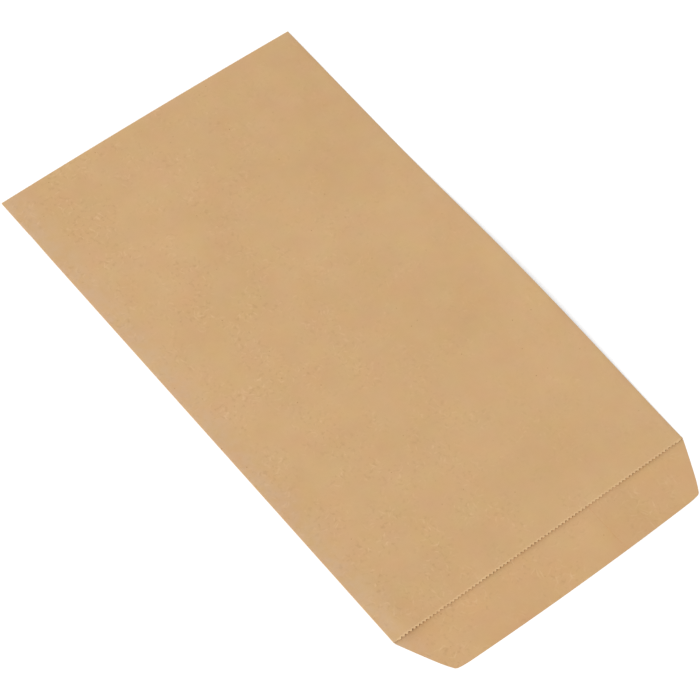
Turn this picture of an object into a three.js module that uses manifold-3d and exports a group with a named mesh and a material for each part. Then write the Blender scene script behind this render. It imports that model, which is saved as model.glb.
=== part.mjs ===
// Kraft flat merchandise bag, lying on its back with the mouth towards -Y.
// One sheet of paper is folded into a flat tube and lapped down the back, right of its middle.
// The tube's far end is turned under and glued as the bottom. At the mouth the front panel
// ends in a pinked cut, and the back panel runs on past it as a lip with slanted sides.
import * as THREE from 'three';
import { mergeVertices } from 'three/addons/utils/BufferGeometryUtils.js';
import Module from 'manifold-3d';

// Driving dimensions in millimetres: the sheet and its folds.
const BAG_WIDTH = 152.4; // between the two side folds
const FRONT_LENGTH = 254; // from the bottom fold to the pinked mouth edge
const PAPER = 0.1; // one layer of the sheet
const LAP_WIDTH = 16; // glued overlap of the sheet's two long edges
const LAP_FROM_FOLD = 36; // from the right side fold to the lap
const LAP_SETTLE = 2; // run in which the upper edge of the lap comes down beside the lower one
const FOLD_CLEARANCE = 0.2; // clear height over the lap inside a side fold
const PRESSED_CLEARANCE = 0.04; // the same at the bottom, where the layers are pressed
const TURN_UP = 19; // length of the end that is turned under
const TURN_UP_INSET = 0.4; // how far its sides stay inside the side folds
const TURN_UP_SETTLE = 15; // run in which the back panel comes down past its edge
const BOTTOM_SEAL = 2; // from the end of the pocket to the bottom fold

// Driving dimensions in millimetres: the mouth and the lip.
const LIP_LENGTH = 24.4; // from the mouth edge to the middle of the lip's end
const LIP_END_WIDTH = 129.1; // between the corners of its end, before the edges bend in to them
const LIP_END_BOW = 1.05; // rise of the curved end
const LIP_SIDE_BOW = 0.15; // rise of each curved side
const LIP_BEND = 0.6; // how far the sides and the end bend in at a corner
const LIP_BEND_RUN = 7; // length of that bend
const TOOTH_PITCH = 25.4 / 14; // of the pinked edge, fourteen to the inch
const TOOTH_DEPTH = 0.85; // from tip to valley
const PLAIN_END = 2.2; // straight cut between the teeth and each side fold

// Driving dimensions in millimetres: how the bag lies.
const MOUTH_GAPE = 0.4; // how far the front panel stands off the back one at the mouth
const BELLY_GAPE = 0.8; // the same half way along
const SIDE_LIFT = 2.7; // height of the right side fold over the table at its highest
const SIDE_LIFT_FROM_MOUTH = 92.5; // place of that highest point
const BOTTOM_LIFT = 1.1; // height of the middle of the bottom fold over the table

// Facets of the curved paper, and the room that a blade takes beyond what it cuts.
const FRONT_COLUMNS = 12;
const BACK_LEFT_COLUMNS = 8;
const BACK_RIGHT_COLUMNS = 3;
const STATIONS = 18;
const FOLD_STEPS = 4;
const LIP_STEPS = 12;
const BLADE_ROOM = 4;

const halfWidth = BAG_WIDTH / 2;
const overallLength = FRONT_LENGTH + LIP_LENGTH;
const lipY = -overallLength / 2;
const mouthY = lipY + LIP_LENGTH;
const bottomY = overallLength / 2;
const lapRightX = halfWidth - LAP_FROM_FOLD;
const lapLeftX = lapRightX - LAP_WIDTH;
const turnUpThickness = 2 * PAPER;
const turnUpY = bottomY - TURN_UP;
const bottomFoldRadius = (turnUpThickness + 3 * PAPER + PRESSED_CLEARANCE) / 2;
const bottomFoldY = bottomY - bottomFoldRadius;

const wasm = await Module();
wasm.setup();

function toSolid(geometry) {
  geometry.deleteAttribute('normal');
  geometry.deleteAttribute('uv');
  const merged = mergeVertices(geometry);
  const vertProperties = new Float32Array(merged.attributes.position.array);
  const triVerts = new Uint32Array(merged.index.array);
  return new wasm.Manifold(new wasm.Mesh({ numProp: 3, vertProperties, triVerts }));
}

function toGeometry(solid) {
  const { vertProperties, triVerts } = solid.getMesh();
  const geometry = new THREE.BufferGeometry();
  geometry.setAttribute('position', new THREE.BufferAttribute(vertProperties, 3));
  geometry.setIndex(new THREE.BufferAttribute(triVerts, 1));
  geometry.computeVertexNormals();
  return geometry;
}

function steps(from, to, count) {
  return Array.from({ length: count + 1 }, (_, i) => THREE.MathUtils.lerp(from, to, i / count));
}

// A closed solid through rings of equal count, each anticlockwise seen from -Y, in order of Y.
function loft(rings) {
  const count = rings[0].length;
  const indices = [];
  for (let j = 0; j + 1 < rings.length; j++) {
    for (let i = 0; i < count; i++) {
      const next = (i + 1) % count;
      const near = [j * count + i, j * count + next];
      const far = [near[0] + count, near[1] + count];
      indices.push(near[0], far[0], near[1]);
      indices.push(near[1], far[0], far[1]);
    }
  }
  const last = (rings.length - 1) * count;
  const flat = (ring) => ring.map((p) => new THREE.Vector2(p.x, p.z));
  for (const [a, b, c] of THREE.ShapeUtils.triangulateShape(flat(rings[0]), [])) {
    indices.push(a, b, c);
  }
  for (const [a, b, c] of THREE.ShapeUtils.triangulateShape(flat(rings.at(-1)), [])) {
    indices.push(last + c, last + b, last + a);
  }
  const geometry = new THREE.BufferGeometry().setFromPoints(rings.flat());
  geometry.setIndex(indices);
  return toSolid(geometry);
}

// A straight blade with the outline of a shape in plan.
function blade(outline, lowest, height) {
  const geometry = new THREE.ExtrudeGeometry(outline, { depth: height, bevelEnabled: false });
  return toSolid(geometry.translate(0, 0, lowest));
}

// How the bag lies: 1 along its middle line and 0 at the side folds.
function crown(x) {
  return 1 - (x / halfWidth) ** 2;
}

// 0 at the mouth and 1 at the bottom fold.
function along(y) {
  return THREE.MathUtils.clamp((y - mouthY) / FRONT_LENGTH, 0, 1);
}

// Height over the table of the paper's lowest face, before the turn-up raises it.
function lift(x, y) {
  const fromPeak = (y - mouthY) / SIDE_LIFT_FROM_MOUTH - 1;
  const hump = Math.max(0, 1 - fromPeak ** 2) ** 2;
  const side = SIDE_LIFT * hump * (Math.max(0, x) / halfWidth) ** 2;
  const bottom = BOTTOM_LIFT * crown(x) * along(y) ** 3;
  return side + bottom;
}

// Rise of the front panel over the side folds: set at the mouth and half way, none at the bottom.
function gape(x, y) {
  const v = along(y);
  return crown(x) ** 2 * (1 - v) * (MOUTH_GAPE + (4 * BELLY_GAPE - 2 * MOUTH_GAPE) * v);
}

// The tube's section at y, either its outer skin or, one layer in, its inner skin.
function tubeRing(y, inset) {
  const seat = turnUpThickness * THREE.MathUtils.smoothstep(y, turnUpY - TURN_UP_SETTLE, turnUpY);
  const clearance = THREE.MathUtils.lerp(FOLD_CLEARANCE, PRESSED_CLEARANCE, along(y) ** 4);
  const height = 3 * PAPER + clearance;
  const foldRadius = height / 2;
  const flatX = halfWidth - foldRadius;
  const ring = [];
  const put = (x, z) => ring.push(new THREE.Vector3(x, y, z + seat + lift(x, y)));

  // The back, from the left fold to the right one. At the lap the lower edge of the sheet ends in a
  // step on the outside and the upper edge in a step on the inside.
  for (const x of steps(-flatX, lapLeftX, BACK_LEFT_COLUMNS)) {
    put(x, inset);
  }
  const isInside = inset > 0;
  put(isInside ? lapLeftX : lapRightX, isInside ? 2 * PAPER : 0);
  put(lapRightX, inset + PAPER);
  for (const x of steps(lapRightX + LAP_SETTLE, flatX, BACK_RIGHT_COLUMNS)) {
    put(x, inset);
  }

  // The folds and the front between them.
  const round = steps(-Math.PI / 2, Math.PI / 2, FOLD_STEPS).slice(1, -1);
  const radius = foldRadius - inset;
  for (const angle of round) {
    put(flatX + radius * Math.cos(angle), foldRadius + radius * Math.sin(angle));
  }
  for (const x of steps(flatX, -flatX, FRONT_COLUMNS)) {
    put(x, height - inset + gape(x, y));
  }
  for (const angle of round.reverse()) {
    put(-flatX - radius * Math.cos(angle), foldRadius + radius * Math.sin(angle));
  }
  return ring;
}

// A band across the bag between two heights over the lifted paper.
function bandRing(y, halfSpan, low, high) {
  const xs = steps(-halfSpan, halfSpan, FRONT_COLUMNS);
  const at = (x, z) => new THREE.Vector3(x, y, z + lift(x, y));
  return [...xs.map((x) => at(x, low)), ...xs.reverse().map((x) => at(x, high))];
}

// The flat tube, over-long at the mouth, with its pocket.
function makeTube() {
  const toothTipsY = mouthY - TOOTH_DEPTH;
  const outerYs = [lipY - BLADE_ROOM, toothTipsY, ...steps(mouthY, bottomFoldY, STATIONS)];
  const pocketEndY = bottomFoldY - BOTTOM_SEAL;
  const pocketYs = [lipY - 2 * BLADE_ROOM, toothTipsY, ...steps(mouthY, pocketEndY, STATIONS)];
  const outer = loft(outerYs.map((y) => tubeRing(y, 0)));
  const pocket = loft(pocketYs.map((y) => tubeRing(y, PAPER)));
  return outer.subtract(pocket);
}

// The end turned under, pressed into the paper above it by half a layer.
function makeTurnUp() {
  const ys = steps(turnUpY, bottomFoldY, FOLD_STEPS);
  const high = turnUpThickness + PAPER / 2;
  return loft(ys.map((y) => bandRing(y, halfWidth - TURN_UP_INSET, 0, high)));
}

// The round of the bottom fold, which joins the tube to the end below it.
function makeBottomFold() {
  const root = bandRing(bottomFoldY - BOTTOM_SEAL / 2, halfWidth - TURN_UP_INSET, PAPER, 4 * PAPER);
  const turns = steps(0, Math.PI / 2, FOLD_STEPS).slice(0, -1);
  const rings = turns.map((turn) => {
    const rise = bottomFoldRadius * Math.cos(turn);
    const y = bottomFoldY + bottomFoldRadius * Math.sin(turn);
    return bandRing(y, halfWidth - TURN_UP_INSET, bottomFoldRadius - rise, bottomFoldRadius + rise);
  });
  return loft([root, ...rings]);
}

// The pinking blade, which goes through the front panel alone.
function makeFrontBlade() {
  const toothedWidth = BAG_WIDTH - 2 * PLAIN_END;
  const teeth = Math.round(toothedWidth / TOOTH_PITCH);
  const xs = steps(-toothedWidth / 2, toothedWidth / 2, 2 * teeth).slice(1, -1);
  const outline = new THREE.Shape();
  outline.moveTo(-halfWidth - BLADE_ROOM, mouthY);
  outline.lineTo(-toothedWidth / 2, mouthY);
  xs.forEach((x, i) => {
    const towardsLip = i % 2 === 0 ? -1 : 1;
    outline.lineTo(x, mouthY + (towardsLip * TOOTH_DEPTH) / 2);
  });
  outline.lineTo(toothedWidth / 2, mouthY);
  outline.lineTo(halfWidth + BLADE_ROOM, mouthY);
  outline.lineTo(halfWidth + BLADE_ROOM, lipY - 2 * BLADE_ROOM);
  outline.lineTo(-halfWidth - BLADE_ROOM, lipY - 2 * BLADE_ROOM);
  return blade(outline, 2 * PAPER + FOLD_CLEARANCE / 2, MOUTH_GAPE + BLADE_ROOM);
}

// How far an edge of the lip bends in, at a distance from its corner.
function lipBend(fromCorner) {
  return LIP_BEND * Math.max(0, 1 - fromCorner / LIP_BEND_RUN) ** 2;
}

// The lip die, which takes away the back panel outside the lip.
function makeLipDie() {
  const cornerX = LIP_END_WIDTH / 2;
  const tipX = cornerX - LIP_BEND;
  const endY = (x) => lipY + LIP_END_BOW * (x / cornerX) ** 2 + lipBend(cornerX - Math.abs(x));
  const side = steps(0, 1, LIP_STEPS).map((depth) => {
    const straight = THREE.MathUtils.lerp(halfWidth, cornerX, depth);
    const bow = 4 * LIP_SIDE_BOW * depth * (1 - depth);
    const x = straight + bow - lipBend(LIP_LENGTH * (1 - depth));
    return new THREE.Vector2(x, THREE.MathUtils.lerp(mouthY, endY(tipX), depth));
  });
  const end = steps(-tipX, tipX, 4 * LIP_STEPS).slice(1, -1);
  const outline = new THREE.Shape();
  outline.moveTo(-halfWidth - BLADE_ROOM, mouthY);
  side.forEach((p) => outline.lineTo(-p.x, p.y));
  end.forEach((x) => outline.lineTo(x, endY(x)));
  side.reverse().forEach((p) => outline.lineTo(p.x, p.y));
  outline.lineTo(halfWidth + BLADE_ROOM, mouthY);
  outline.lineTo(halfWidth + BLADE_ROOM, lipY - 2 * BLADE_ROOM);
  outline.lineTo(-halfWidth - BLADE_ROOM, lipY - 2 * BLADE_ROOM);
  return blade(outline, -BLADE_ROOM, 2 * BLADE_ROOM);
}

const paperBag = makeTube()
  .subtract(makeFrontBlade())
  .subtract(makeLipDie())
  .add(makeTurnUp())
  .add(makeBottomFold());

const kraft = new THREE.MeshStandardMaterial({ color: 0xcfa97b, roughness: 0.85, metalness: 0 });
const bag = new THREE.Mesh(toGeometry(paperBag), kraft);
bag.name = 'paper_bag';

const merchandiseBag = new THREE.Group();
merchandiseBag.add(bag);

export default merchandiseBag;
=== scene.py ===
import math

import bpy
from mathutils import Matrix, Vector, noise


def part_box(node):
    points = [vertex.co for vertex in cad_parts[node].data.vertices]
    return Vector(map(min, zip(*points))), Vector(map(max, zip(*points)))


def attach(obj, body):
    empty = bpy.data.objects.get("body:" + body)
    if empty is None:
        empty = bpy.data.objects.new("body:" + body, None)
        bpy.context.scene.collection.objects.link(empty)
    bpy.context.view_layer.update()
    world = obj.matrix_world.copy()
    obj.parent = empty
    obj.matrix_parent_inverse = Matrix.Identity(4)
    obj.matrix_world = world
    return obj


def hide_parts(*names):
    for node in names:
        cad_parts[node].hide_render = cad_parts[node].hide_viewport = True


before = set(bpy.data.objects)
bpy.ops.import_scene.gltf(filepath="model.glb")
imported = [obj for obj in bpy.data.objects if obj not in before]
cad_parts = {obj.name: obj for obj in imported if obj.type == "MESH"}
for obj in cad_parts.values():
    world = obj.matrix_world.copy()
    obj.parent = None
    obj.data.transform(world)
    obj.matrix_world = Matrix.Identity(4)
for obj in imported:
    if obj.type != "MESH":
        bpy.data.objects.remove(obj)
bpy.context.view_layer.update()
scene = bpy.context.scene
scene.view_settings.view_transform = "Standard"

# The blank. One sheet of brown kraft paper is cut from the reel to the outline of the opened bag: the
# front panel, a wide and a narrow wing that lap as the back panel, the lip at the mouth and the turn-up
# at the far end. Here it lies flat, with x across it and y along it from the mouth line.
mm = 0.001
paper = 0.1 * mm
bag_low, bag_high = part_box("paper_bag")
half_width = (bag_high.x - bag_low.x) / 2
lap_width = 16 * mm
lap_from_fold = 36 * mm
lap_right = half_width - lap_from_fold
lap_left = lap_right - lap_width
lap_settle = 2 * mm
turn_up = 19 * mm

# The lip's sides and end are bowed out a little, bend in to its two corners and are rounded at the tips.
lip_length = 24.4 * mm
lip_end_half = 64.55 * mm
lip_end_bow = 1.05 * mm
lip_side_bow = 0.15 * mm
lip_bend = 0.6 * mm
lip_bend_run = 7 * mm
lip_tip_run = 0.8 * mm
straight_lip_half = lap_right + lap_settle
mouth_y = bag_low.y + lip_length

# Heights of the pressed layers at the bottom, and the rounds that the paper makes in its folds.
layer = 1.1 * paper
bottom_fold_height = paper / 2 + 2.5 * layer
bottom_fold_y = bag_high.y - bottom_fold_height
bottom_fold_strip = math.pi * 1.5 * layer
side_fold_radius = 0.2 * mm
side_fold_strip = math.pi * side_fold_radius
panel_half = half_width - paper / 2 - side_fold_radius
back_start = panel_half + side_fold_strip
body_length = bottom_fold_y - mouth_y
turn_up_start = body_length + bottom_fold_strip

# The front panel's mouth edge is pinked with fourteen teeth to the inch, and its two ends are plain.
tooth_pitch = 25.4 * mm / 14
tooth_depth = 0.85 * mm
tooth_upturn_run = 1.5 * mm
plain_end = 2.2 * mm
toothed_half = half_width - plain_end
teeth = round(2 * toothed_half / tooth_pitch)

# The lines of the grid that the sheet is cut from: close at the teeth and in the folds, and wider on the
# flat back. One row lies just off the mouth line, because there the lip's side leaves the side fold.
front_step = 3 * mm
back_step = 5 * mm
fold_step = 0.09 * mm
lip_start = 0.8 * mm


def spaced(first, last, step):
    """Even places from first to last, both included, about a step apart."""
    count = round(abs(last - first) / step)
    return [first + (last - first) * i / count for i in range(count + 1)]


front_lines = [-panel_half] + spaced(-toothed_half, toothed_half, tooth_pitch) + [panel_half]
fold_lines = spaced(panel_half, back_start, fold_step)[1:-1]
left_xs = spaced(-panel_half, lap_left, back_step) + spaced(lap_left, lap_right, back_step)[1:]
right_xs = spaced(panel_half, lap_right + lap_settle, back_step)
right_xs += spaced(lap_right, lap_left, back_step)
columns = [-back_start - panel_half - x for x in reversed(left_xs)]
columns += [-line for line in reversed(fold_lines)] + front_lines + fold_lines
columns += [back_start + panel_half - x for x in right_xs]
rows = spaced(-lip_length, -lip_start, front_step) + [0, tooth_upturn_run]
rows += spaced(2 * tooth_upturn_run, body_length, front_step)
rows += spaced(body_length, turn_up_start, fold_step)[1:]
rows += spaced(turn_up_start, turn_up_start + turn_up, back_step)[1:]
blank_width = columns[-1] - columns[0]
blank_length = rows[-1] - rows[0]


def bent_in(from_corner):
    """How far a side or the end of the lip bends in, at a distance from its corner."""
    return lip_bend * max(0, 1 - from_corner / lip_bend_run) ** 2


def lip_half(depth):
    """Half the lip's width at a share of its length."""
    bow = 4 * lip_side_bow * depth * (1 - depth)
    bend = bent_in(lip_length * (1 - depth))
    return half_width + (lip_end_half - half_width) * depth + bow - bend


def cut_outline(across, along):
    """Place on the blank of a grid point, with the lip's columns drawn in to its slanted sides."""
    if along >= 0 or abs(across) < back_start:
        return Vector((across, along, 0))
    side = math.copysign(1, across)
    depth = -along / lip_length
    x = panel_half - (abs(across) - back_start)
    ease = max(0, x - straight_lip_half) / (panel_half - straight_lip_half)
    end_x = x - (panel_half - lip_half(1)) * ease
    reach = lip_length - lip_end_bow * (end_x / lip_end_half) ** 2 - bent_in(lip_end_half - end_x)
    x -= (panel_half - lip_half(depth)) * ease
    return Vector((side * (back_start + panel_half - x), -depth * reach, 0))


bpy.ops.object.select_all(action="DESELECT")
bpy.ops.mesh.primitive_grid_add(
    x_subdivisions=len(columns) - 1, y_subdivisions=len(rows) - 1, size=1
)
kraft_bag = bpy.context.object
kraft_bag.name = "kraft_bag"
sheet = kraft_bag.data
sheet.name = "kraft_bag"
for vertex in sheet.vertices:
    column = round((vertex.co.x + 0.5) * (len(columns) - 1))
    row = round((vertex.co.y + 0.5) * (len(rows) - 1))
    vertex.co = cut_outline(columns[column], rows[row])


def select_where(kind, wanted):
    """Leaves the blank in edit mode with only the wanted vertices, edges or faces selected."""
    bpy.ops.object.mode_set(mode="EDIT")
    bpy.ops.mesh.select_mode(type=kind)
    bpy.ops.mesh.select_all(action="DESELECT")
    bpy.ops.object.mode_set(mode="OBJECT")
    parts = {"VERT": sheet.vertices, "EDGE": sheet.edges, "FACE": sheet.polygons}[kind]
    for part in parts:
        part.select = wanted(part)
    bpy.ops.object.mode_set(mode="EDIT")


# The die cuts the sheet away in front of the mouth line, between the two halves of the lip.
near = 0.01 * mm


def is_waste(face):
    """Whether a face of the grid lies in front of the mouth line and reaches in past the lip."""
    innermost = min(abs(sheet.vertices[v].co.x) for v in face.vertices)
    return face.center.y < 0 and innermost < back_start - near


select_where("FACE", is_waste)
bpy.ops.mesh.delete(type="FACE")

# It rounds the tips of the lip's two outer corners.
lip_corners = [cut_outline(side * back_start, -lip_length) for side in (-1, 1)]
select_where("VERT", lambda vertex: any((vertex.co - c).length < near for c in lip_corners))
bpy.ops.mesh.bevel(offset=lip_tip_run, affect="VERTICES", segments=3, profile=0.5)


# A pinking knife cuts the teeth of the front panel's mouth edge.
def on_toothed_edge(place):
    """Whether a place on the blank is on the stretch of the mouth line that is pinked."""
    return abs(place.y) < near and abs(place.x) < toothed_half + near


def tooth_phase(place):
    """Whole at a valley of the pinked edge and half way between at a tip."""
    return (place.x + toothed_half) / (2 * toothed_half / teeth) % 1


select_where(
    "EDGE", lambda edge: all(on_toothed_edge(sheet.vertices[v].co) for v in edge.vertices)
)
bpy.ops.mesh.subdivide(number_cuts=1)
bpy.ops.object.mode_set(mode="OBJECT")
pinked = sheet.attributes.new("pinked", "FLOAT", "POINT")
lapped = sheet.attributes.new("lapped", "FLOAT", "POINT")
for vertex in sheet.vertices:
    pinked.data[vertex.index].value = on_toothed_edge(vertex.co)
    from_long_edge = min(vertex.co.x - columns[0], columns[-1] - vertex.co.x)
    lapped.data[vertex.index].value = from_long_edge < lap_width + near
select_where(
    "VERT", lambda v: on_toothed_edge(v.co) and 0.25 < tooth_phase(v.co) < 0.75
)
bpy.ops.transform.translate(value=(0, -tooth_depth / 2, 0))
select_where(
    "VERT", lambda v: on_toothed_edge(v.co) and abs(v.co.x) < toothed_half - near
)
bpy.ops.transform.translate(value=(0, tooth_depth / 2, 0))
bpy.ops.object.mode_set(mode="OBJECT")

# The paper's own pattern is laid out on the flat sheet, so it follows the paper round each fold.
flat_map = sheet.uv_layers.active
flat_map.name = "flat_blank"
for loop in sheet.loops:
    place = sheet.vertices[loop.vertex_index].co
    u = (place.x - columns[0]) / blank_width
    v = (place.y - rows[0]) / blank_length
    flat_map.data[loop.index].uv = (u, v)

# The folded bag. The sheet is folded into a flat tube with a glued lap down the back, right of its
# middle, and the tube's far end is turned under and glued. The bag lies on its back: the right side
# fold and the middle of the bottom fold stand a little off the table, and the front bellies slightly.
side_lift = 2.7 * mm
side_lift_from_mouth = 92.5 * mm
bottom_lift = 1.1 * mm
belly = 0.8 * mm
swell_run = 25 * mm
fold_ease = 8 * mm
flat_by_mouth = 40 * mm
tooth_upturn = 0.05 * mm
tooth_curl = 2.3 * mm
tooth_curl_seed = 5.7
turn_up_settle = 15 * mm
turn_up_y = bottom_fold_y - turn_up
pressed_radius = layer

# Swells of the front panel's mouth edge: place across the bag, half width and height, in mm.
mouth_swells = ((-68, 7, 0.55), (-23, 7, 0.22), (-5, 6, 0.24), (14, 8, 0.15), (55, 12, 0.14))

# Cockles of the front panel, from damp that the paper took up: size and height in mm, and a seed.
cockles = ((47, 0.16, 3.3), (19, 0.06, 8.1))


def smooth(value, first, last):
    """0 up to first, 1 from last on, and an even ease between them."""
    share = min(1, max(0, (value - first) / (last - first)))
    return share * share * (3 - 2 * share)


def bell(value, half):
    """1 at nought, falling evenly to both sides to about a third at half."""
    return math.exp(-((value / half) ** 2))


def uneven(x, y, size, seed):
    """A soft random wave between about -1 and 1, with humps of about the given size."""
    return noise.noise(Vector((x / size, y / size, seed)))


def table_lift(x, y):
    """Height of the bag's underside over the table."""
    from_peak = (y - mouth_y) / side_lift_from_mouth - 1
    swell = max(0, 1 - from_peak**2) ** 2
    side = side_lift * swell * (max(0, x) / half_width) ** 2
    share = min(1, max(0, (y - mouth_y) / body_length))
    return side + bottom_lift * (1 - (x / half_width) ** 2) * share**3


def gape(x, y):
    """Height of the front panel over the plane of its side folds."""
    share = min(1, max(0, (y - mouth_y) / body_length))
    from_mouth = max(0, y - mouth_y)
    crown = max(0, 1 - (x / half_width) ** 2)
    rise = belly * crown**2 * math.sin(math.pi * share) ** 2
    for place, half, height in mouth_swells:
        swell = height * mm * bell(x - place * mm, half * mm) * bell(from_mouth, swell_run)
        rise += swell * smooth(half_width - abs(x), 0, fold_ease)
    for size, height, seed in cockles:
        wave = height * mm * crown * uneven(x, y, size * mm, seed)
        rise += wave * smooth(from_mouth, 0, flat_by_mouth) * (1 - share**3)
    return rise


def back_height(x, y, is_upper_lap):
    """Height of the middle of the paper in the back panel."""
    seat = 3 * layer * smooth(y, turn_up_y - turn_up_settle, turn_up_y)
    lap = layer * (1 - smooth(x, lap_right, lap_right + lap_settle)) if is_upper_lap else 0
    return table_lift(x, y) + paper / 2 + seat + lap


def fold_radius(y):
    """Round of the side folds, which are pressed flat over the turn-up."""
    pressed = smooth(y, turn_up_y - turn_up_settle, turn_up_y)
    return side_fold_radius + (pressed_radius - side_fold_radius) * pressed


def in_section(across, y):
    """x and height, in the tube's cross-section at y, of a point that is across from the middle."""
    side = math.copysign(1, across)
    edge_x = side * panel_half
    radius = fold_radius(y)
    if abs(across) <= panel_half:
        low = back_height(across, y, False)
        return across, low + 2 * radius + gape(across, y)
    if abs(across) < back_start:
        turn = math.pi * (abs(across) - panel_half) / side_fold_strip
        low = back_height(edge_x, y, False)
        return edge_x + side * radius * math.sin(turn), low + radius * (1 + math.cos(turn))
    x = side * (panel_half - (abs(across) - back_start))
    return x, back_height(x, y, side > 0)


def folded(across, along):
    """Place in the folded bag of a point of the flat blank."""
    if along <= body_length:
        x, z = in_section(across, mouth_y + along)
        if abs(across) < panel_half and along < tooth_upturn_run:
            curl = 1 + uneven(across, 0, tooth_curl, tooth_curl_seed)
            z += curl * tooth_upturn * (1 - along / tooth_upturn_run) ** 2
        return Vector((x, mouth_y + along, z))
    x, z = in_section(across, bottom_fold_y)
    radius = z - table_lift(x, bottom_fold_y) - bottom_fold_height
    turn = math.pi * min(1, (along - body_length) / bottom_fold_strip)
    y = bottom_fold_y + radius * math.sin(turn) - max(0, along - turn_up_start)
    return Vector((x, y, table_lift(x, y) + bottom_fold_height + radius * math.cos(turn)))


for vertex in sheet.vertices:
    vertex.co = folded(vertex.co.x, vertex.co.y)

# The paper's thickness. The sheet's outside is the glazed face, its inside the rough face, and the
# third slot takes the cut edges.
bpy.ops.object.modifier_add(type="SOLIDIFY")
wall = kraft_bag.modifiers[-1]
wall.thickness = paper
wall.offset = 0
wall.material_offset = 1
wall.material_offset_rim = 2


# The paper's faces. Unbleached kraft paper is a pressed mat of brown wood fibres, glazed on the outside
# by a hot roll and left rough on the inside. The eye sees soft paler and darker clouds, short strokes at
# all angles that catch the light on one side, and a few dark dots.
def linear(hex_colour):
    """Linear colour, with full alpha, of an sRGB hex value."""
    parts = [int(hex_colour[i : i + 2], 16) / 255 for i in (1, 3, 5)]
    return [p / 12.92 if p <= 0.04045 else ((p + 0.055) / 1.055) ** 2.4 for p in parts] + [1]


def add_node(tree, kind, inputs, **settings):
    """A node with its settings, and for each named input a value or the socket that feeds it."""
    node = tree.nodes.new(kind)
    for name, value in settings.items():
        setattr(node, name, value)
    for name, value in inputs.items():
        if isinstance(value, bpy.types.NodeSocket):
            tree.links.new(value, node.inputs[name])
        else:
            node.inputs[name].default_value = value
    return node


def pulp_clouds(tree, on_sheet, floc, thin, dense):
    """Colour of the pulp, which settles on the wire in broad clouds of 45 mm and in small flocs."""
    # The sheet is cut from one stretch of the reel, which is chosen here.
    place_on_reel = (270, 120, 0)
    on_reel = add_node(
        tree, "ShaderNodeVectorMath", {0: on_sheet, 1: place_on_reel}, operation="ADD"
    ).outputs["Vector"]
    cloud = add_node(
        tree,
        "ShaderNodeTexNoise",
        {"Vector": on_reel, "Scale": 1 / 45, "Detail": 3, "Roughness": 0.6},
        noise_dimensions="2D",
    ).outputs["Fac"]
    both = add_node(
        tree, "ShaderNodeMix", {"Factor": 0.33, "A": cloud, "B": floc}
    ).outputs["Result"]
    formation = add_node(
        tree, "ShaderNodeMapRange", {"Value": both, "From Min": 0.2, "From Max": 0.8}
    ).outputs["Result"]
    colour = add_node(
        tree, "ShaderNodeMix", {0: formation, 6: linear(dense), 7: linear(thin)}, data_type="RGBA"
    ).outputs[2]

    # The brown of the wood is uneven, so patches of about 12 mm differ a little in hue too.
    hues = add_node(
        tree,
        "ShaderNodeTexNoise",
        {"Vector": on_sheet, "Scale": 1 / 12, "Detail": 2},
        noise_dimensions="2D",
    ).outputs["Color"]
    return add_node(
        tree, "ShaderNodeMix", {0: 0.09, 6: colour, 7: hues}, data_type="RGBA", blend_type="SOFT_LIGHT"
    ).outputs[2]


def fibre_patches(tree, on_sheet, across, shares):
    """How thick stray fibres and smudges lie: in patches of about 15 mm, by their shares at the folds."""
    # The shares swing across the reel in one broad wave, which peaks at the two side folds.
    phase = add_node(
        tree,
        "ShaderNodeMath",
        {0: across, 1: math.pi / 2 / (panel_half / mm)},
        operation="MULTIPLY",
    ).outputs["Value"]
    swing = add_node(tree, "ShaderNodeMath", {0: phase}, operation="SINE").outputs["Value"]
    share = add_node(
        tree,
        "ShaderNodeMapRange",
        {"Value": swing, "From Min": -1, "To Min": shares[0], "To Max": shares[1]},
    ).outputs["Result"]
    patch = add_node(
        tree,
        "ShaderNodeTexNoise",
        {"Vector": on_sheet, "Scale": 1 / 15, "Detail": 1},
        noise_dimensions="2D",
    ).outputs["Fac"]
    patches = add_node(
        tree, "ShaderNodeMapRange", {"Value": patch, "From Min": 0.38, "From Max": 0.62, "To Min": 0.15}
    ).outputs["Result"]
    return add_node(
        tree, "ShaderNodeMath", {0: patches, 1: share}, operation="MULTIPLY"
    ).outputs["Value"]


def pulp_smudges(tree, lumps, gathered, colour):
    """Colour and relief with the dark, slightly sunken smudges where the pulp lies dense."""
    lump = add_node(
        tree, "ShaderNodeMapRange", {"Value": lumps, "From Min": 0.56, "From Max": 0.75, "To Max": 0.3}
    ).outputs["Result"]
    smudge = add_node(
        tree, "ShaderNodeMath", {0: lump, 1: gathered}, operation="MULTIPLY"
    ).outputs["Value"]
    colour = add_node(
        tree, "ShaderNodeMix", {0: smudge, 6: colour, 7: linear("#bb9466")}, data_type="RGBA"
    ).outputs[2]
    relief = add_node(
        tree, "ShaderNodeMath", {0: smudge, 1: -0.6, 2: 0.5}, operation="MULTIPLY_ADD"
    ).outputs["Value"]
    return colour, relief


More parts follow.
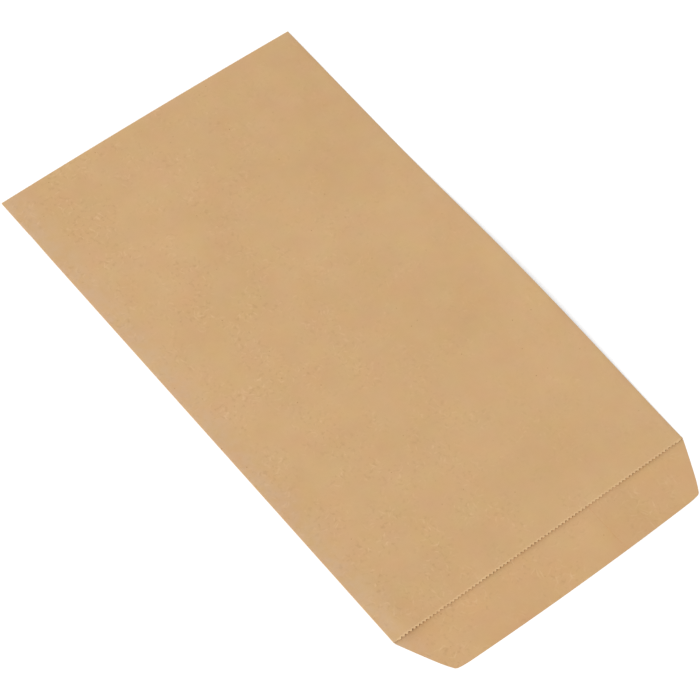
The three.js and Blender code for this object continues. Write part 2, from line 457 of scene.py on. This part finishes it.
def stray_fibres(tree, bent, gathered, stretch, fibre_colour, colour, relief):
    """Colour and relief with strokes of pale fibre, 1 to 3 mm long, in four directions.

    Real fibres are about 0.03 mm thick, and here they are drawn ten times as thick so that they show.
    """
    for angle, length in ((0.3, 3.4), (1.1, 2.8), (1.9, 4), (2.7, 3)):
        lengthwise = add_node(
            tree,
            "ShaderNodeMapping",
            {
                "Vector": bent,
                "Location": (length, angle, 0),
                "Rotation": (0, 0, angle),
                "Scale": (length * stretch, 1, 1),
            },
            vector_type="TEXTURE",
        ).outputs["Vector"]
        cells = add_node(
            tree, "ShaderNodeTexVoronoi", {"Vector": lengthwise, "Scale": 1 / 1.5}, voronoi_dimensions="2D"
        )
        stroke = add_node(
            tree,
            "ShaderNodeMapRange",
            {"Value": cells.outputs["Distance"], "From Min": 0.34, "From Max": 0.08},
            interpolation_type="SMOOTHSTEP",
        ).outputs["Result"]
        chosen = add_node(
            tree,
            "ShaderNodeMapRange",
            {"Value": cells.outputs["Color"], "From Min": 0.62, "From Max": 0.95},
        ).outputs["Result"]
        spread = add_node(
            tree, "ShaderNodeMath", {0: chosen, 1: gathered}, operation="MULTIPLY"
        ).outputs["Value"]
        fibre = add_node(
            tree, "ShaderNodeMath", {0: stroke, 1: spread}, operation="MULTIPLY"
        ).outputs["Value"]
        tint = add_node(
            tree, "ShaderNodeMath", {0: fibre, 1: 0.35}, operation="MULTIPLY"
        ).outputs["Value"]
        colour = add_node(
            tree, "ShaderNodeMix", {0: tint, 6: colour, 7: linear(fibre_colour)}, data_type="RGBA"
        ).outputs[2]
        relief = add_node(
            tree, "ShaderNodeMath", {0: fibre, 1: 1.3, 2: relief}, operation="MULTIPLY_ADD"
        ).outputs["Value"]
    return colour, relief


def painted_fold_sheen(tree, across, floc, colour):
    """Colour with a painted sheen, paler along the side folds, 15 mm wide and stronger by the left fold,
    where the light comes from.
    """
    sheen_mottle = add_node(
        tree, "ShaderNodeMapRange", {"Value": floc, "From Min": 0.35, "From Max": 0.65, "To Min": 0.25}
    ).outputs["Result"]
    # Painted sheen: each fold is made paler in patches, most by the left fold, which faces the near
    # softbox.
    for fold_x, sheen_strength in ((-panel_half, 0.42), (panel_half, 0.06)):
        apart = add_node(
            tree, "ShaderNodeMath", {0: across, 1: fold_x / mm}, operation="SUBTRACT"
        ).outputs["Value"]
        from_fold = add_node(
            tree, "ShaderNodeMath", {0: apart}, operation="ABSOLUTE"
        ).outputs["Value"]
        sheen_by_fold = add_node(
            tree,
            "ShaderNodeMapRange",
            {"Value": from_fold, "From Min": 15, "From Max": 0, "To Max": sheen_strength},
            interpolation_type="SMOOTHSTEP",
        ).outputs["Result"]
        sheen = add_node(
            tree, "ShaderNodeMath", {0: sheen_by_fold, 1: sheen_mottle}, operation="MULTIPLY"
        ).outputs["Value"]
        colour = add_node(
            tree, "ShaderNodeMix", {0: sheen, 6: colour, 7: linear("#ceb095")}, data_type="RGBA"
        ).outputs[2]
    return colour


def frayed_teeth_and_tip_highlight(tree, lumps, colour):
    """Colour with the pale torn fibres that the pinking knife leaves along the teeth, and a painted
    highlight where the tooth tips catch the light.
    """
    at_edge = add_node(tree, "ShaderNodeAttribute", {}, attribute_name="pinked").outputs["Fac"]
    torn_and_lit = add_node(
        tree, "ShaderNodeMapRange", {"Value": lumps, "From Min": 0.3, "From Max": 0.6, "To Min": 0.3}
    ).outputs["Result"]
    rim = add_node(
        tree, "ShaderNodeMapRange", {"Value": at_edge, "From Min": 0.3, "To Max": 0.8}
    ).outputs["Result"]
    fray_and_highlight = add_node(
        tree, "ShaderNodeMath", {0: rim, 1: torn_and_lit}, operation="MULTIPLY"
    ).outputs["Value"]
    # The pale band along the teeth is partly real frayed fibre and partly a painted highlight on the tooth
    # tips.
    return add_node(
        tree, "ShaderNodeMix", {0: fray_and_highlight, 6: colour, 7: linear("#f0cc9b")}, data_type="RGBA"
    ).outputs[2]


def glued_lap(tree, colour):
    """Colour with the lap a little darker, from the glue and the second layer behind it."""
    in_lap = add_node(tree, "ShaderNodeAttribute", {}, attribute_name="lapped").outputs["Fac"]
    glued = add_node(
        tree, "ShaderNodeMath", {0: in_lap, 1: 0.1}, operation="MULTIPLY"
    ).outputs["Value"]
    return add_node(
        tree, "ShaderNodeMix", {0: glued, 6: colour, 7: linear("#bb9466")}, data_type="RGBA"
    ).outputs[2]


def bark_specks(tree, on_sheet, colour):
    """Colour with dark specks of bark up to 0.6 mm across, about one to the square inch."""
    dots = add_node(
        tree, "ShaderNodeTexVoronoi", {"Vector": on_sheet, "Scale": 1 / 12}, voronoi_dimensions="2D"
    )
    speck = add_node(
        tree,
        "ShaderNodeMapRange",
        {"Value": dots.outputs["Distance"], "From Min": 0.026, "From Max": 0.01},
    ).outputs["Result"]
    kept = add_node(
        tree,
        "ShaderNodeMapRange",
        {"Value": dots.outputs["Color"], "From Min": 0.55, "From Max": 0.9, "To Max": 0.68},
    ).outputs["Result"]
    bark = add_node(
        tree, "ShaderNodeMath", {0: speck, 1: kept}, operation="MULTIPLY"
    ).outputs["Value"]
    return add_node(
        tree, "ShaderNodeMix", {0: bark, 6: colour, 7: linear("#945f10")}, data_type="RGBA"
    ).outputs[2]


def kraft_face(
    name, thin, dense, fibre_colour, fibre_shares, fibre_stretch, roughness, relief_height
):
    """One face of the kraft paper, its pattern laid out in millimetres from the front's middle line."""
    material = bpy.data.materials.new(name)
    material.use_nodes = True
    tree = material.node_tree
    flat = add_node(tree, "ShaderNodeUVMap", {}, uv_map="flat_blank").outputs["UV"]
    left_edge = (columns[0] / mm, 0, 0)
    sheet_size = (blank_width / mm, blank_length / mm, 1)
    on_sheet = add_node(
        tree, "ShaderNodeMapping", {"Vector": flat, "Location": left_edge, "Scale": sheet_size}
    ).outputs["Vector"]
    across = add_node(tree, "ShaderNodeSeparateXYZ", {"Vector": on_sheet}).outputs["X"]

    # Flocs of pulp 5 mm across, bends of the fibres 4 mm long, and lumps of 1 to 2 mm.
    floc = add_node(
        tree,
        "ShaderNodeTexNoise",
        {"Vector": on_sheet, "Scale": 1 / 5, "Detail": 4, "Roughness": 0.6},
        noise_dimensions="2D",
    ).outputs["Fac"]
    warp = add_node(
        tree,
        "ShaderNodeTexNoise",
        {"Vector": on_sheet, "Scale": 1 / 4, "Detail": 2},
        noise_dimensions="2D",
    ).outputs["Color"]
    bent = add_node(
        tree,
        "ShaderNodeVectorMath",
        {0: warp, 1: (2.5, 2.5, 0), 2: on_sheet},
        operation="MULTIPLY_ADD",
    ).outputs["Vector"]
    lumps = add_node(
        tree,
        "ShaderNodeTexNoise",
        {"Vector": bent, "Scale": 1 / 1.8, "Detail": 2, "Roughness": 0.5},
        noise_dimensions="2D",
    ).outputs["Fac"]

    gathered = fibre_patches(tree, on_sheet, across, fibre_shares)
    colour = pulp_clouds(tree, on_sheet, floc, thin, dense)
    colour, relief = pulp_smudges(tree, lumps, gathered, colour)
    colour, relief = stray_fibres(tree, bent, gathered, fibre_stretch, fibre_colour, colour, relief)
    colour = painted_fold_sheen(tree, across, floc, colour)
    colour = frayed_teeth_and_tip_highlight(tree, lumps, colour)
    colour = glued_lap(tree, colour)
    colour = bark_specks(tree, on_sheet, colour)

    # Tooth of the surface: grains of 0.6 mm, coarser than the real ones so that they show.
    grain = add_node(
        tree,
        "ShaderNodeTexNoise",
        {"Vector": on_sheet, "Scale": 1 / 0.6, "Detail": 2, "Roughness": 0.6},
        noise_dimensions="2D",
    ).outputs["Fac"]
    height = add_node(
        tree, "ShaderNodeMath", {0: grain, 1: 0.25, 2: relief}, operation="MULTIPLY_ADD"
    ).outputs["Value"]
    bump = add_node(
        tree, "ShaderNodeBump", {"Height": height, "Strength": 1, "Distance": relief_height}
    ).outputs["Normal"]
    gloss = add_node(
        tree,
        "ShaderNodeMapRange",
        {"Value": floc, "From Min": 0.3, "From Max": 0.7, "To Min": roughness, "To Max": roughness + 0.1},
    ).outputs["Result"]

    # Cellulose has an index of about 1.5, and the loose mat of it shines less than a solid would.
    shader = tree.nodes["Principled BSDF"]
    tree.links.new(colour, shader.inputs["Base Color"])
    tree.links.new(gloss, shader.inputs["Roughness"])
    tree.links.new(bump, shader.inputs["Normal"])
    shader.inputs["IOR"].default_value = 1.5
    shader.inputs["Specular IOR Level"].default_value = 0.25
    return material


glazed_face = kraft_face(
    "kraft_paper_glazed_face",
    thin="#d5ae80",
    dense="#cca575",
    fibre_colour="#e2bc8f",
    fibre_shares=(1.6, 0.5),
    fibre_stretch=1,
    roughness=0.7,
    relief_height=0.02 * mm,
)
rough_face = kraft_face(
    "kraft_paper_rough_face",
    thin="#d6ae7f",
    dense="#cea474",
    fibre_colour="#e6c194",
    fibre_shares=(1.5, 0.9),
    fibre_stretch=1.4,
    roughness=0.8,
    relief_height=0.025 * mm,
)
cut_edge = kraft_face(
    "kraft_paper_cut_edge",
    thin="#dfbb8e",
    dense="#d6ae7f",
    fibre_colour="#e8cba3",
    fibre_shares=(1, 1),
    fibre_stretch=1,
    roughness=0.8,
    relief_height=0.02 * mm,
)
for face in (glazed_face, rough_face, cut_edge):
    sheet.materials.append(face)
bpy.ops.object.modifier_apply(modifier=wall.name)
bpy.ops.object.shade_smooth_by_angle(angle=math.radians(40))
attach(kraft_bag, "root")
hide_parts("paper_bag")

# The studio. The bag lies on a plain white table under an even sky, with one softbox high on the left
# and a low one beyond the bottom fold. The table reads white to the camera and takes the bag's shadow.
table_size = 3
table_gap = 0.02 * mm
table_glow = 0.3
bpy.ops.object.select_all(action="DESELECT")
bpy.ops.mesh.primitive_plane_add(size=table_size, location=(0, 0, bag_low.z - table_gap))
table = bpy.context.object
table.name = "white_table"
table_white = bpy.data.materials.new("white_table")
table_white.use_nodes = True
table_tree = table_white.node_tree
table_shader = table_tree.nodes["Principled BSDF"]
table_shader.inputs["Base Color"].default_value = linear("#eeeeee")
table_shader.inputs["Roughness"].default_value = 0.9
table_shader.inputs["Specular IOR Level"].default_value = 0
table_shader.inputs["Emission Color"].default_value = linear("#ffffff")


def seen_directly(tree):
    """1 for the rays that show a surface to the camera, mirrored or through glass too, and 0 for light."""
    rays = add_node(tree, "ShaderNodeLightPath", {}).outputs
    mirrored = add_node(
        tree,
        "ShaderNodeMath",
        {0: rays["Is Glossy Ray"], 1: rays["Is Transmission Ray"]},
        operation="MAXIMUM",
    ).outputs["Value"]
    return add_node(
        tree, "ShaderNodeMath", {0: rays["Is Camera Ray"], 1: mirrored}, operation="MAXIMUM"
    ).outputs["Value"]


glow_seen = add_node(
    table_tree, "ShaderNodeMath", {0: seen_directly(table_tree), 1: table_glow}, operation="MULTIPLY"
).outputs["Value"]
table_tree.links.new(glow_seen, table_shader.inputs["Emission Strength"])
table.data.materials.append(table_white)

sky = bpy.data.worlds.new("studio_sky")
scene.world = sky
sky.use_nodes = True
sky_tree = sky.node_tree
sky_light = 0.53
sky_strength = add_node(
    sky_tree,
    "ShaderNodeMapRange",
    {"Value": seen_directly(sky_tree), "To Min": sky_light, "To Max": 1},
).outputs["Result"]
background = sky_tree.nodes["Background"]
background.inputs["Color"].default_value = linear("#ffffff")
sky_tree.links.new(sky_strength, background.inputs["Strength"])

softbox_distance = 4
for name, light_from, size, energy in (
    ("near_softbox", Vector((-0.8, -0.26, 0.85)), 2.4, 86),
    ("far_softbox", Vector((-0.1, 0.95, 0.33)), 1.6, 42),
):
    light_from.normalize()
    bpy.ops.object.light_add(type="AREA", location=light_from * softbox_distance)
    softbox = bpy.context.object
    softbox.name = name
    softbox.rotation_euler = light_from.to_track_quat("Z", "Y").to_euler()
    softbox.data.shape = "SQUARE"
    softbox.data.size = size
    softbox.data.energy = energy
    softbox.visible_camera = False

# The camera stands on the mouth's left, well above the table, with a long lens and a slight roll.
azimuth = math.radians(-46.925)
elevation = math.radians(57.651)
roll = math.radians(8.785)
camera_distance = 1298.5 * mm
aim = Vector((-5.19, -2.015, 0)) * mm
back = Vector(
    (
        math.sin(azimuth) * math.cos(elevation),
        -math.cos(azimuth) * math.cos(elevation),
        math.sin(elevation),
    )
)
level = Vector((math.cos(azimuth), math.sin(azimuth), 0))
upright = back.cross(level)
right = math.cos(roll) * level + math.sin(roll) * upright
up = math.cos(roll) * upright - math.sin(roll) * level
bpy.ops.object.camera_add()
camera = bpy.context.object
camera.data.sensor_width = 36
camera.data.lens = 164.57
camera.data.clip_start = 0.05
turned = Matrix((right, up, back)).transposed().to_4x4()
camera.matrix_world = Matrix.Translation(aim + back * camera_distance) @ turned
scene.camera = camera
